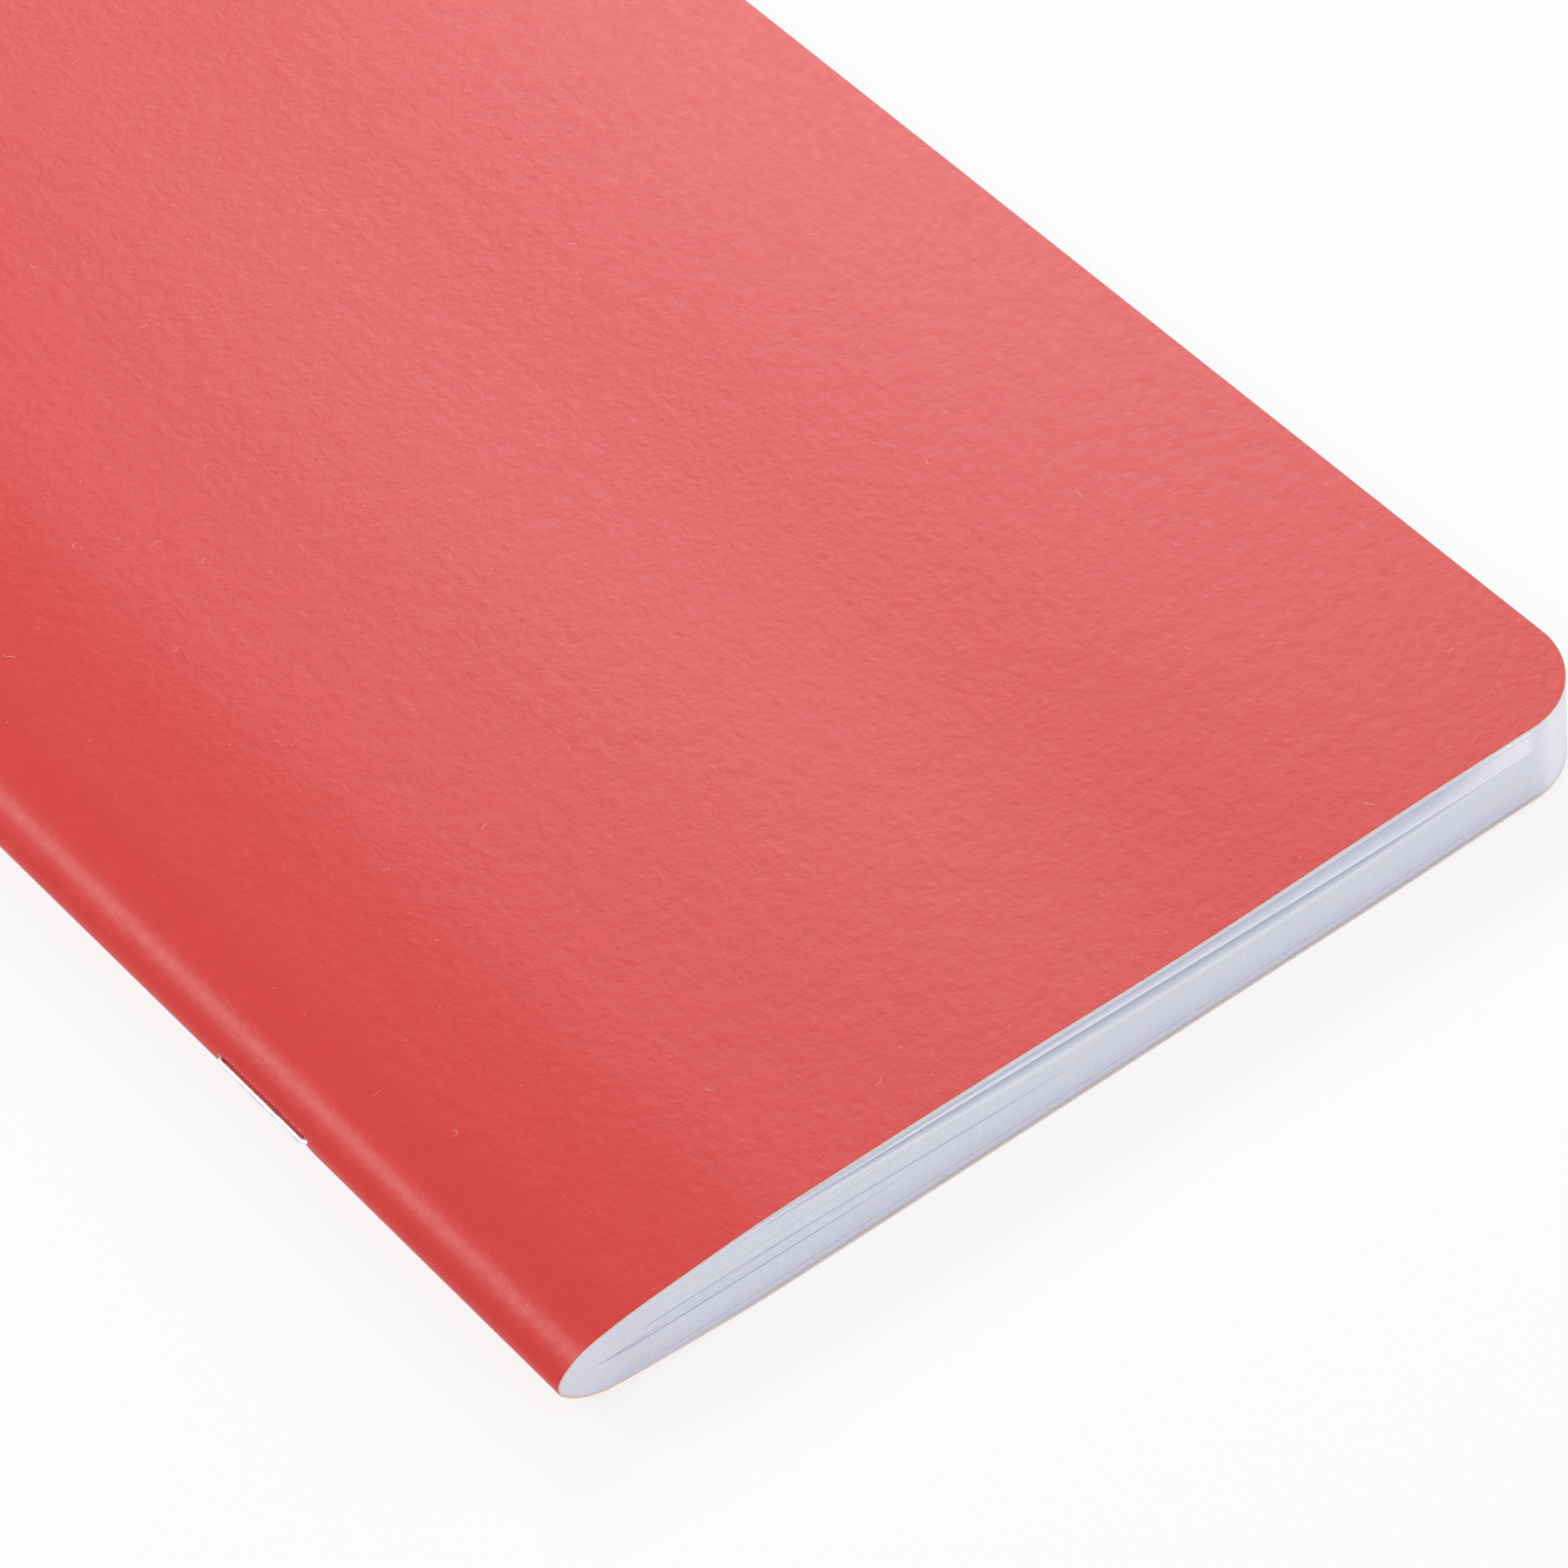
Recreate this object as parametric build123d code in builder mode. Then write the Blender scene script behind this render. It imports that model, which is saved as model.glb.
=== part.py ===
"""Stapled exercise book: a card cover and a stack of folded sheets, wire-stitched through the fold.

The book is closed and lies on its back cover. The origin is the middle of the back cover's
underside: +X points from the spine to the fore edge, +Y from the tail to the head and +Z up.
Every folded piece is made as a front half, a back half and the strip that bends at the spine.
"""

from build123d import *
import os
from math import sqrt

# Format
cover_width = 110.0        # spine to fore edge
cover_height = 170.0       # tail to head
corner_radius = 8.0        # the two corners at the fore edge

# Paper and card
sheet_count = 24           # folded sheets, one inside the other
paper_thickness = 0.11
card_thickness = 0.30
fold_clearance = 0.005     # between neighbouring layers where they are pressed at the spine
leaf_air = 0.067           # between neighbouring layers where the book lies flat
middle_gap = 0.12          # between the two middle leaves

# Section of the spine
tip_radius = 1.6           # outermost line of the spine
shoulder_drop = 3.6        # from the middle plane down to the centre of the upper shoulder's arc
fold_spare = 0.36          # half height of the eye inside the innermost fold
swell_length = 23.0        # from the spine to where the covers become flat
hinge_setback = 0.9        # from the innermost fold to where the flat halves begin

# Wire stitches
wire_diameter = 0.50
crown_length = 12.8        # over the wire, along the spine
clinch_length = 4.6        # of each leg, bent over inside the fold
bend_radius = 0.55         # of the wire's centre line
staple_from_edge = 41.0    # from the tail or the head to the middle of the nearer stitch
wire_clearance = 0.04      # round the wire where it goes through the layers
crown_clearance = 0.02     # between the wire's crown and the spine

# Worked out from the sizes above
layer_pitch = paper_thickness + fold_clearance
flat_pitch = paper_thickness + leaf_air
stack_depth = card_thickness + sheet_count * layer_pitch
half_thickness = card_thickness + sheet_count * flat_pitch + middle_gap / 2
shoulder_radius = stack_depth + fold_spare + shoulder_drop
shoulder_x = tip_radius + sqrt((shoulder_radius - tip_radius) ** 2 - shoulder_drop**2)
fold_x = shoulder_x - sqrt((shoulder_radius - stack_depth) ** 2 - shoulder_drop**2)
root_x = fold_x + hinge_setback
hole_side = wire_diameter + 2 * wire_clearance
staple_rows = (staple_from_edge - cover_height / 2, cover_height / 2 - staple_from_edge)

# The section's own axes: x from the spine to the fore edge, y up from the middle plane
section = Plane(
    origin=(-cover_width / 2, cover_height / 2, half_thickness), x_dir=(1, 0, 0), z_dir=(0, -1, 0)
)


def shoulder_start(depth):
    """Where the shoulder's arc begins, on the layer that lies depth under the spine's outside."""
    tip = tip_radius - depth
    if tip > 0:
        share = tip / (shoulder_radius - tip_radius)
        return tip_radius - share * (shoulder_x - tip_radius), share * shoulder_drop
    return shoulder_x - sqrt((shoulder_radius - depth) ** 2 - shoulder_drop**2), 0.0


def root_level(depth):
    """Height over the middle plane at root_x, on the layer that lies depth under the outside."""
    return sqrt((shoulder_radius - depth) ** 2 - (shoulder_x - root_x) ** 2) - shoulder_drop


def spine_region(depth):
    """Everything inside the layer that lies depth under the spine's outside, as far as root_x."""
    x, y = shoulder_start(depth)
    level = root_level(depth)
    with BuildSketch() as region:
        with BuildLine():
            if y > 0:
                ThreePointArc((x, -y), (depth, 0), (x, y))
            for side in (1, -1):
                TangentArc(
                    (x, side * y),
                    (root_x, side * level),
                    tangent=(y + shoulder_drop, side * (shoulder_x - x)),
                )
            Line((root_x, -level), (root_x, level))
        make_face()
    return region.sketch


def flat_half(name, side, depth, thickness, flat_level):
    """A front (side 1) or back (side -1) half: it swells from the fold to its flat level."""
    outer = (side * flat_level, side * root_level(depth))
    inner = (side * (flat_level - thickness), side * root_level(depth + thickness))
    with BuildPart() as half:
        with BuildSketch(section):
            with BuildLine():
                for level, root in (outer, inner):
                    TangentArc((swell_length, level), (root_x, root), tangent=(-1, 0))
                    Line((swell_length, level), (cover_width, level))
                Line((root_x, outer[1]), (root_x, inner[1]))
                Line((cover_width, outer[0]), (cover_width, inner[0]))
            make_face()
        extrude(amount=cover_height)
        fillet(half.edges().filter_by(Axis.Z).group_by(Axis.X)[-1], corner_radius)
    half.part.label = name
    export_step(half.part, f"parts/{name}.step")


os.makedirs("parts", exist_ok=True)

# Where the four legs of wire go through the layers
with BuildPart() as wire_holes:
    with Locations(*[(-cover_width / 2, y, half_thickness) for y in staple_rows]):
        with GridLocations(0, crown_length - wire_diameter, 1, 2):
            Box(2 * root_x + wire_diameter, hole_side, hole_side)

# Card cover
for side, name in ((1, "cover_front"), (-1, "cover_back")):
    flat_half(name, side, 0, card_thickness, half_thickness)

with BuildPart() as cover_spine:
    with BuildSketch(section):
        add(spine_region(0))
        add(spine_region(card_thickness), mode=Mode.SUBTRACT)
    extrude(amount=cover_height)
    add(wire_holes.part, mode=Mode.SUBTRACT)
cover_spine.part.label = "cover_spine"
export_step(cover_spine.part, "parts/cover_spine.step")

# Folded sheets, from the outermost inwards
sheet_depths = [card_thickness + fold_clearance + i * layer_pitch for i in range(sheet_count)]
for i, depth in enumerate(sheet_depths):
    flat_level = half_thickness - card_thickness - leaf_air - i * flat_pitch
    for side, half in ((1, "front"), (-1, "back")):
        flat_half(f"sheet_{i + 1:02d}_{half}", side, depth, paper_thickness, flat_level)

with BuildPart() as sheet_folds:
    with BuildSketch(section):
        for depth in sheet_depths:
            add(spine_region(depth))
            add(spine_region(depth + paper_thickness), mode=Mode.SUBTRACT)
    extrude(amount=cover_height)
    add(wire_holes.part, mode=Mode.SUBTRACT)
sheet_folds.part.label = "sheet_folds"
export_step(sheet_folds.part, "parts/sheet_folds.step")

# Wire stitches: a crown outside the spine, two legs through it and two clinched ends inside
wire_plane = Plane.XY.offset(half_thickness)
crown_x = -cover_width / 2 - crown_clearance - wire_diameter / 2
clinch_x = -cover_width / 2 + root_x
half_crown = (crown_length - wire_diameter) / 2
for name, staple_y in zip(("staple_tail", "staple_head"), staple_rows):
    with BuildPart() as staple:
        with BuildLine(wire_plane) as wire:
            FilletPolyline(
                (clinch_x, staple_y - half_crown + clinch_length),
                (clinch_x, staple_y - half_crown),
                (crown_x, staple_y - half_crown),
                (crown_x, staple_y + half_crown),
                (clinch_x, staple_y + half_crown),
                (clinch_x, staple_y + half_crown - clinch_length),
                radius=bend_radius,
            )
        with BuildSketch(Plane(origin=wire.line @ 0, z_dir=wire.line % 0)):
            Circle(wire_diameter / 2)
        sweep()
    staple.part.label = name
    export_step(staple.part, f"parts/{name}.step")
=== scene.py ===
"""Looks of the stapled exercise book: a red card cover round folded sheets, held by two wire stitches.

The book lies closed on its back cover. The frame gives its size and its moving bodies; lengths are in metres.
"""

import logging
from dataclasses import dataclass
from enum import IntEnum
from math import asin, atan2, cos, pi, radians, sin, sqrt
from typing import Any, Callable

import bpy
import numpy as np
from mathutils import Matrix, Vector

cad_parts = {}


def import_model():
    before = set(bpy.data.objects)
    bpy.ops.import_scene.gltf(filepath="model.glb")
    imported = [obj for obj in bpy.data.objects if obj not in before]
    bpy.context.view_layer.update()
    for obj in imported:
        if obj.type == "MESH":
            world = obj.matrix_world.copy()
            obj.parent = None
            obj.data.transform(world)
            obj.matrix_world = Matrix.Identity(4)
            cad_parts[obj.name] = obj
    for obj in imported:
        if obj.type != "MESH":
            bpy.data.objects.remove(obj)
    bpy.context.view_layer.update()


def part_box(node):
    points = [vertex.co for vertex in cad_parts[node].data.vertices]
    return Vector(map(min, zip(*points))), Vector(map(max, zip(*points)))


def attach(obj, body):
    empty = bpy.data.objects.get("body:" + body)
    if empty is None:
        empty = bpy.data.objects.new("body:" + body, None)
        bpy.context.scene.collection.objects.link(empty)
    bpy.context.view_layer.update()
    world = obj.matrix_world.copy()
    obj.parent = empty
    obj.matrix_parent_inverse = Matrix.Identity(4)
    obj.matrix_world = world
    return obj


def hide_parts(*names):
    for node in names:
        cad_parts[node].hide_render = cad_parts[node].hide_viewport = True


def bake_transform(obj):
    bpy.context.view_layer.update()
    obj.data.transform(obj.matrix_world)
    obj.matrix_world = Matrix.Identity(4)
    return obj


LOG = logging.getLogger("exercise_book")
MM = 0.001
# The ledge's height over the table, a polynomial of the way from the spine, both in mm
LEDGE_LINE = (6.51e-06, -0.00105542, 0.02041986, 8.3066)
# What the folded pieces' vertices hold for the materials
REST, UNFOLDED, COAT = "rest_place", "unfolded_place", "coat_share"
Array = np.ndarray
Material = bpy.types.Material
Piece = bpy.types.Object


class Face(IntEnum):
    """Which side of a folded piece a face belongs to, and so its material slot."""

    OUTSIDE = 0
    INSIDE = 1
    EDGE = 2


class Half(IntEnum):
    """The half of the book above or below its middle."""

    FRONT = 1
    BACK = -1


def smoothstep(low: float, high: float, x: Array) -> Array:
    """A soft step of x from 0 at low to 1 at high."""
    t = np.clip((x - low) / (high - low), 0.0, 1.0)
    return t * t * (3 - 2 * t)


def bell(x: Array, middle: float, spread: float) -> Array:
    """A bell curve of height 1 round middle."""
    return np.exp(-(((x - middle) / spread) ** 2))


def polynomial(factors: tuple[float, ...], x: Any) -> Any:
    """A polynomial of x.

    Args:
        factors: The factor of each power, the highest first.
        x: An array or a term.

    Returns:
        Its value at x.
    """
    value = factors[0]
    for factor in factors[1:]:
        value = value * x + factor
    return value


def linked(name: str, data: Any) -> Piece:
    """Puts new data into the scene.

    Args:
        name: The object's name.
        data: Its mesh, lamp or camera.

    Returns:
        The object.
    """
    thing = bpy.data.objects.new(name, data)
    bpy.context.scene.collection.objects.link(thing)
    return thing


# --- Node trees ---


def operator_pair(operation: str) -> tuple[Callable, Callable]:
    """Makes operators of a term, each of which adds a Math node.

    Args:
        operation: The node's operation.

    Returns:
        The operator and the reflected one.
    """
    return (
        lambda term, other: term.math(operation, term, other),
        lambda term, other: term.math(operation, other, term),
    )


@dataclass(frozen=True)
class Term:
    """A node's output that takes part in arithmetic: each operator adds a Math node."""

    graph: "Graph"
    socket: bpy.types.NodeSocket

    def math(self, operation: str, *values: Any) -> "Term":
        """Puts values, numbers or terms, through a Math node."""
        return self.graph.node("ShaderNodeMath", {"operation": operation}, dict(enumerate(values)))

    __add__, __radd__ = operator_pair("ADD")
    __sub__, __rsub__ = operator_pair("SUBTRACT")
    __mul__, __rmul__ = operator_pair("MULTIPLY")
    __truediv__, __rtruediv__ = operator_pair("DIVIDE")

    def step(self, low: float, high: float) -> "Term":
        """A soft step of this from 0 at low to 1 at high.

        Args:
            low: Where it is 0.
            high: Where it is 1, which may lie on either side of low.

        Returns:
            The step's height.
        """
        settings = {"interpolation_type": "SMOOTHSTEP"}
        if low <= high:
            inputs = {"Value": self, "From Min": low, "From Max": high}
        else:
            inputs = {"Value": self, "From Min": high, "From Max": low, "To Min": 1.0, "To Max": 0.0}
        return self.graph.node("ShaderNodeMapRange", settings, inputs)

    def maximum(self, other: Any) -> "Term":
        """The larger of this and other."""
        return self.math("MAXIMUM", self, other)

    def size(self) -> "Term":
        """This without its sign."""
        return self.math("ABSOLUTE", self)

    def output(self, name: str) -> "Term":
        """Another output of the same node."""
        return Term(self.graph, self.socket.node.outputs[name])


class Graph:
    """A node tree that is filled by calls: each node comes from one method."""

    def __init__(self, tree: bpy.types.NodeTree) -> None:
        """Takes the tree to fill and clears it."""
        self.tree = tree
        tree.nodes.clear()

    def node(
        self,
        kind: str,
        settings: dict[str, Any] | None = None,
        inputs: dict[str | int, Any] | None = None,
        output: str | int = 0,
    ) -> Term:
        """Adds one node.

        Args:
            kind: The node's type.
            settings: Its own properties, set before anything else.
            inputs: Values or terms for its sockets, by name or place.
            output: The output that is handed back.

        Returns:
            That output as a term.
        """
        made = self.tree.nodes.new(kind)
        for name, value in (settings or {}).items():
            setattr(made, name, value)
        for name, value in (inputs or {}).items():
            socket = made.inputs[name]
            if isinstance(value, Term):
                self.tree.links.new(value.socket, socket)
            else:
                socket.default_value = value
        return Term(self, made.outputs[output])

    def end(self, kind: str, inputs: dict[str | int, Term]) -> None:
        """Adds the output node that a tree ends in.

        Args:
            kind: The node's type.
            inputs: The terms that it takes.
        """
        made = self.tree.nodes.new(kind)
        for name, term in inputs.items():
            self.tree.links.new(term.socket, made.inputs[name])

    def mix(self, factor: Any, a: Any, b: Any) -> Term:
        """Lays colour b over colour a, as far as factor says."""
        return self.node("ShaderNodeMix", {"data_type": "RGBA"}, {0: factor, 6: a, 7: b}, output=2)

    def noise(self, place: Term, scale: float, detail: float = 2.0, roughness: float = 0.5) -> Term:
        """Smooth noise from 0 to 1, with so many waves for each metre."""
        inputs = {"Vector": place, "Scale": scale, "Detail": detail, "Roughness": roughness}
        return self.node("ShaderNodeTexNoise", None, inputs)

    def stretched(self, place: Term, scale: tuple[float, float, float]) -> Term:
        """The coordinates stretched along each axis."""
        return self.node("ShaderNodeMapping", None, {"Vector": place, "Scale": scale})

    def attribute(self, name: str, output: str = "Vector") -> Term:
        """A value that the mesh holds at its vertices."""
        return self.node("ShaderNodeAttribute", {"attribute_name": name}, None, output)

    def bump(self, height: Term, distance: float) -> Term:
        """A normal that follows a height of so many metres."""
        return self.node("ShaderNodeBump", None, {"Strength": 1.0, "Distance": distance, "Height": height})

    def parts(self, vector: Term, output: str = "X") -> Term:
        """One part of a vector; the others are outputs of the same node."""
        return self.node("ShaderNodeSeparateXYZ", None, {"Vector": vector}, output)

    def unlit_view(self) -> Term:
        """1 for rays from the camera, a mirror or a clear body, and 0 for rays that carry light."""
        path = self.node("ShaderNodeLightPath", None, None, "Is Camera Ray")
        return path.maximum(path.output("Is Glossy Ray")).maximum(path.output("Is Transmission Ray"))


class Surface(Graph):
    """The graph of one new material."""

    def __init__(self, name: str) -> None:
        """Starts an empty material.

        Args:
            name: The material's name.
        """
        self.material = bpy.data.materials.new(name)
        self.material.use_nodes = True
        super().__init__(self.material.node_tree)

    def finish(self, colour: Term, roughness: Term, normal: Term, **fixed: float) -> Material:
        """Ends the material in one Principled shader.

        Args:
            colour: Its Base Color.
            roughness: Its Roughness.
            normal: Its Normal.
            fixed: The values of specular or metallic, the same all over.

        Returns:
            The material.
        """
        inputs = {"Base Color": colour, "Roughness": roughness, "Normal": normal}
        names = {"specular": "Specular IOR Level", "metallic": "Metallic"}
        inputs |= {names[name]: value for name, value in fixed.items()}
        shader = self.node("ShaderNodeBsdfPrincipled", None, inputs)
        self.end("ShaderNodeOutputMaterial", {"Surface": shader})
        return self.material


def rgb(red: float, green: float, blue: float) -> tuple[float, float, float, float]:
    """A colour as it shows turned into the linear values that shaders take.

    Args:
        red: From 0 to 255, like the other two.
        green: The green part.
        blue: The blue part.

    Returns:
        The linear colour, opaque.
    """
    parts = [c / 255 for c in (red, green, blue)]
    linear = [c / 12.92 if c <= 0.04045 else ((c + 0.055) / 1.055) ** 2.4 for c in parts]
    return (*linear, 1.0)


# --- Finishes ---


@dataclass(frozen=True)
class CoverCard:
    """Red card with a fine pebbled grain that runs along the spine, specks of dust and short hairs."""

    colour: tuple = rgb(214, 51, 47)
    deep: tuple = rgb(210, 47, 44)
    dust: tuple = rgb(250, 214, 208)
    roughness: float = 0.42
    grain: float = 0.046 * MM
    speck_cell: float = 4.2 * MM
    speck_radius: float = 0.075 * MM
    hair_cell: float = 15.0 * MM
    hair_length: float = 0.5 * MM
    hair_width: float = 0.045 * MM

    @staticmethod
    def scattered(g: Graph, place: Term, cell: float, output: str) -> Term:
        """One output of a pattern of points strewn over the surface, one to a cell."""
        settings = {"voronoi_dimensions": "2D", "feature": "F1"}
        return g.node("ShaderNodeTexVoronoi", settings, {"Vector": place, "Scale": 1 / cell}, output)

    def specks(self, g: Graph, place: Term) -> Term:
        """Where tiny specks of dust lie.

        Args:
            g: The material's graph.
            place: The unfolded surface.

        Returns:
            How white the dust is there.
        """
        away = self.scattered(g, place, self.speck_cell, "Distance")
        lot = g.node("ShaderNodeSeparateColor", None, {"Color": away.output("Color")})
        size = self.speck_radius / self.speck_cell
        return away.step(size, size * 0.4) * lot.step(0.70, 0.98)

    def hairs(self, g: Graph, place: Term) -> Term:
        """Where short bent hairs lie.

        Args:
            g: The material's graph.
            place: The unfolded surface.

        Returns:
            How white a hair is there.
        """
        middle = self.scattered(g, place, self.hair_cell, "Position")
        away = g.parts(g.node("ShaderNodeVectorMath", {"operation": "SUBTRACT"}, {0: place, 1: middle}))
        across = away.output("Y")
        lot = g.node("ShaderNodeSeparateColor", None, {"Color": middle.output("Color")})
        turn, bend = lot * (2 * pi), lot.output("Green")
        cosine, sine = turn.math("COSINE", turn), turn.math("SINE", turn)
        along = away * cosine + across * sine
        beside = across * cosine - away * sine + along * along * ((bend - 0.5) * 2.4 / self.hair_length)
        length, width = along.size(), beside.size()
        chosen = lot.output("Blue").step(0.35, 0.75)
        thin = width.step(self.hair_width, self.hair_width * 0.3)
        return length.step(self.hair_length, self.hair_length * 0.7) * thin * chosen

    def material(self) -> Material:
        """Builds the card's outside.

        Returns:
            The material.
        """
        g = Surface("red_cover_card")
        place, spread = g.attribute(REST), g.attribute(UNFOLDED)
        cloud = g.noise(place, 45.0, 2.0, 0.5)
        pebbles = g.noise(place, 1250.0, 3.0, 0.55)
        swells = g.noise(place, 420.0, 2.0, 0.5)
        strokes = g.noise(g.stretched(place, (1.0, 0.14, 1.0)), 1000.0, 2.0, 0.5)
        dust = (self.specks(g, spread) * 0.6).maximum(self.hairs(g, spread) * 0.5)
        height = pebbles * 0.8 + swells * 0.9 + strokes * 0.35
        base = g.mix(height.step(1.25, 0.85) * 0.6 + cloud * 0.3, self.colour, self.deep)
        roughness = self.roughness + (pebbles - 0.5) * 0.12
        relief = g.bump(height + dust * 0.4, self.grain)
        return g.finish(g.mix(dust, base, self.dust), roughness, relief, specular=0.4)


@dataclass(frozen=True)
class BareCard:
    """Uncoated card: the cover's inside, and its cut edge with the red coat along one side and painted light
    towards the table.
    """

    name: str
    colour: tuple
    fibre: tuple
    coat: tuple = rgb(150, 52, 46)
    coat_start: float = 0.86
    # The colour and share of the painted light on the lower cut edge
    painted_low_light: tuple = rgb(232, 218, 223)
    painted_low_light_share: float = 0.0
    relief: float = 0.012 * MM

    def material(self) -> Material:
        """Builds the bare card.

        Returns:
            The material.
        """
        g = Surface(self.name)
        place, coated = g.attribute(REST), g.attribute(COAT, "Fac")
        fibres = g.noise(place, 5200.0, 3.0, 0.6)
        cloud = g.noise(place, 160.0, 2.0)
        colour = g.mix(fibres.step(0.40, 0.70) * 0.55 + cloud * 0.2, self.colour, self.fibre)
        # Painted light: the cut edge turns paler and bluer towards the table, standing for the fill light on
        # the lower edge
        low = g.parts(place, "Z").step(1.6 * MM, 0.4 * MM)
        colour = g.mix(low * self.painted_low_light_share, colour, self.painted_low_light)
        smear = coated + (fibres - 0.5) * 0.35
        colour = g.mix(smear.step(self.coat_start, 1.0) * 0.8, colour, self.coat)
        return g.finish(colour, 0.86 + (fibres - 0.5) * 0.2, g.bump(fibres, self.relief), specular=0.25)


@dataclass(frozen=True)
class PagePaper:
    """White writing paper with feint ruling."""

    colour: tuple = rgb(240, 240, 246)
    fibre: tuple = rgb(228, 229, 238)
    ruling: tuple = rgb(150, 176, 206)
    line_pitch: float = 8.0 * MM
    line_width: float = 0.22 * MM
    ruled_half: float = 68.5 * MM
    relief: float = 0.012 * MM

    def material(self) -> Material:
        """Builds the face of a page.

        Returns:
            The material.
        """
        g = Surface("page_paper")
        place, along = g.attribute(REST), g.parts(g.attribute(UNFOLDED), "Y")
        from_line = along.math("PINGPONG", along + self.line_pitch / 2, self.line_pitch / 2)
        line = from_line.step(self.line_width * 0.75, self.line_width * 0.25)
        within = along.size().step(self.ruled_half + 0.2 * MM, self.ruled_half)
        fibres = g.noise(place, 2600.0, 3.0, 0.6)
        paper = g.mix(fibres.step(0.40, 0.68), self.colour, self.fibre)
        colour = g.mix(line * within * 0.75, paper, self.ruling)
        return g.finish(colour, 0.82 + (fibres - 0.5) * 0.2, g.bump(fibres, self.relief), specular=0.3)


@dataclass(frozen=True)
class GrooveShadow:
    """A fine painted shadow line across the cut at the tail; its height is a polynomial in mm from the spine.
    """

    height: tuple[float, ...]
    start: float
    end: float
    fade: float
    depth: float
    width: float = 0.13

    def mask(self, x: Term, z: Term) -> Term:
        """Where the painted shadow line lies.

        Args:
            x: From the spine, in mm.
            z: Over the table, in mm.

        Returns:
            How dark it is there.
        """
        away = (z - polynomial(self.height, x)).size()
        here = x.step(self.start, self.start + 2.0) * x.step(self.end, self.end - self.fade)
        return away.step(self.width, self.width * 0.15) * here * self.depth


@dataclass(frozen=True)
class CutPaper:
    """The cut edges of the sheets: upright streaks of the knife, painted shade and painted light along the
    ledge that the knife left at the tail, and painted shadow lines across it.
    """

    colour: tuple = rgb(230, 230, 241)
    shade: tuple = rgb(200, 200, 218)
    # deep is the colour of the painted shade and painted shadow lines, light that of the painted highlights
    deep: tuple = rgb(150, 150, 182)
    light: tuple = rgb(244, 244, 250)
    spine: float = 55.0
    tail: float = -82.0
    relief: float = 0.010 * MM
    crease: tuple[float, ...] = (8.34e-06, -0.00115453, 0.03385953, 8.50)
    shade_width: tuple[float, ...] = (-0.0009, 0.108, -1.58)
    groove_shadows: tuple[GrooveShadow, ...] = (
        GrooveShadow((2.63e-05, -0.0026, 0.03575, 5.395), 8.0, 58.0, 16.0, 0.60),
        GrooveShadow((0.00045, -0.0481, 4.693), 4.6, 40.0, 18.0, 0.72),
    )

    def ledge(self, x: Term, y: Term, z: Term) -> tuple[Term, Term]:
        """The painted shade and painted light on either side of the ledge that the knife left at the tail.

        Args:
            x: From the spine, in mm.
            y: Along the spine, in mm.
            z: Over the table, in mm.

        Returns:
            How dark the painted shade makes the cut, and how light the painted light makes it.
        """
        line, crease = polynomial(LEDGE_LINE, x), polynomial(self.crease, x)
        above = z - line
        share = (line - z) / polynomial(self.shade_width, x).maximum(0.16)
        # Painted shade under the line, and fainter painted shade between the line and the crease over it
        under = above.step(0.02, -0.06) * share.step(1.0, 0.0) * x.step(103.0, 84.0) * 0.64
        height = above / (crease - line)
        over = height.step(0.15, 1.0) * (0.15 + 0.85 * height.step(1.3, 1.05)) * x.step(101.0, 90.0) * 0.34
        # Painted highlights where the shade ends, along the lip over the line, and on the light corner at the
        # fore edge
        rim = share.step(0.75, 0.98) * share.step(1.25, 1.0) * 0.65
        lip_highlight = above.step(0.0, 0.05) * (above.step(0.5, 0.1) * 0.9).maximum(x.step(90.0, 102.0))
        here = x.step(13.0, 30.0) * x.step(103.0, 101.0) * y.step(self.tail, self.tail - 1.0)
        return here * under.maximum(over), (here * rim.maximum(lip_highlight)).maximum(x.step(101.8, 104.5) * 0.9)

    def material(self) -> Material:
        """Builds the cut edge.

        Returns:
            The material.
        """
        g = Surface("cut_paper_edge")
        place = g.attribute(REST)
        parts = g.parts(place)
        x, y, z = (parts.output(axis) * (1 / MM) for axis in "XYZ")
        x = x + self.spine
        streaks = g.noise(g.stretched(place, (1.0, 1.0, 0.06)), 4200.0, 2.0, 0.6)
        slow = g.noise(g.stretched(place, (1.0, 1.0, 0.3)), 120.0, 2.0, 0.5)
        fibres = g.noise(place, 5200.0, 2.0, 0.6)
        # Painted shade: the cut turns darker towards the table
        painted_low_shade = z.step(3.4, 0.6) * 0.30
        base = g.mix(streaks.step(0.30, 0.75) * 0.12 + slow * 0.10 + painted_low_shade, self.colour, self.shade)
        # Painted shade and painted light of the ledge
        shaded, lit = self.ledge(x, y, z)
        dark = shaded * (0.85 + 0.3 * streaks)
        # Painted shadow lines across the cut
        for groove_shadow in self.groove_shadows:
            dark = dark.maximum(groove_shadow.mask(x, z))
        colour = g.mix(dark, g.mix(lit, base, self.light), self.deep)
        relief = g.bump(streaks * 0.5 + fibres * 0.5, self.relief)
        return g.finish(colour, 0.88 + (fibres - 0.5) * 0.15, relief, specular=0.2)


@dataclass(frozen=True)
class StitchWire:
    """Bright tinned steel wire with faint drawing lines."""

    colour: tuple = rgb(238, 239, 242)
    dull: tuple = rgb(204, 206, 211)
    relief: float = 0.004 * MM

    def material(self) -> Material:
        """Builds the wire.

        Returns:
            The material.
        """
        g = Surface("stitch_wire_steel")
        place = g.node("ShaderNodeTexCoord", None, None, "Object")
        drawn = g.noise(g.stretched(place, (1.0, 0.06, 1.0)), 9000.0, 2.0, 0.6)
        tarnish = g.noise(place, 700.0, 2.0, 0.5)
        colour = g.mix(tarnish.step(0.45, 0.75), self.colour, self.dull)
        return g.finish(colour, 0.20 + drawn * 0.14, g.bump(drawn, self.relief), metallic=1.0)


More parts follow.
